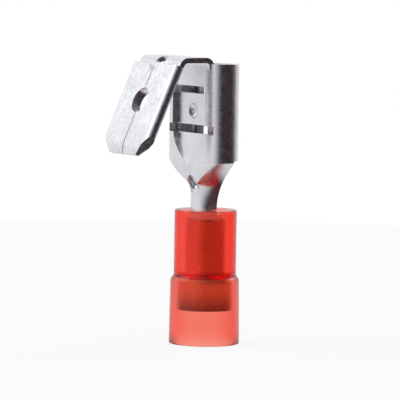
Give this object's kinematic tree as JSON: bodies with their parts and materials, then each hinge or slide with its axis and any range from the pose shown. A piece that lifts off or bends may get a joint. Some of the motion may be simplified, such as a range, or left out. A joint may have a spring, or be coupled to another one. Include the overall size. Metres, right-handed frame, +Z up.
{
  "type": "piggyback spade terminal",
  "caption": "Folded sheet-metal receptacle for a flat blade, with a leaning male tab on a bridge beside it and a wire crimp in a stepped translucent red nylon sleeve.",
  "frame": {"origin": "centre of the crimp barrel's lower mouth, inside the sleeve", "axes": "+Z up along the barrel from the wire to the receptacle's mouth, +X across the blade's width, -Y out of the receptacle's plate toward the male tab"},
  "size_m": [0.0074, 0.0104, 0.0222],
  "materials": {
    "tinned_brass": "bright tin plating, lightly scuffed",
    "sleeve_brass": "satin",
    "red_nylon": "translucent, softly glossy"
  },
  "bodies": {
    "root": {"terminal": "tinned_brass", "grip_sleeve": "sleeve_brass", "nylon_sleeve": "red_nylon"}
  },
  "joints": []
}
